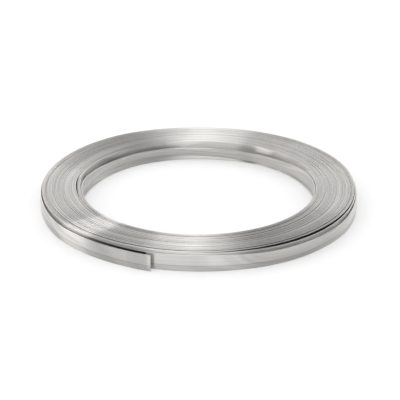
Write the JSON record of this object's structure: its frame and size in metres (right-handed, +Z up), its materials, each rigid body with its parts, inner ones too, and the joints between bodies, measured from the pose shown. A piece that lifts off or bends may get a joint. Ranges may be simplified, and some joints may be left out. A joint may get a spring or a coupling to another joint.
{
  "type": "coil of flat aluminium strip",
  "caption": "Coil of thin flat aluminium strip lying on its side, with an open bore and a loose outer end.",
  "frame": {"origin": "on the bore's axis, at the level that the coil rests on", "axes": "+Z up along the bore's axis, -Y to the front, where the strip's loose end is left of the middle"},
  "size_m": [0.3693, 0.3703, 0.023],
  "materials": {
    "strip_coil": "bright rolled"
  },
  "bodies": {
    "root": {"strip_coil": "strip_coil"}
  },
  "joints": []
}
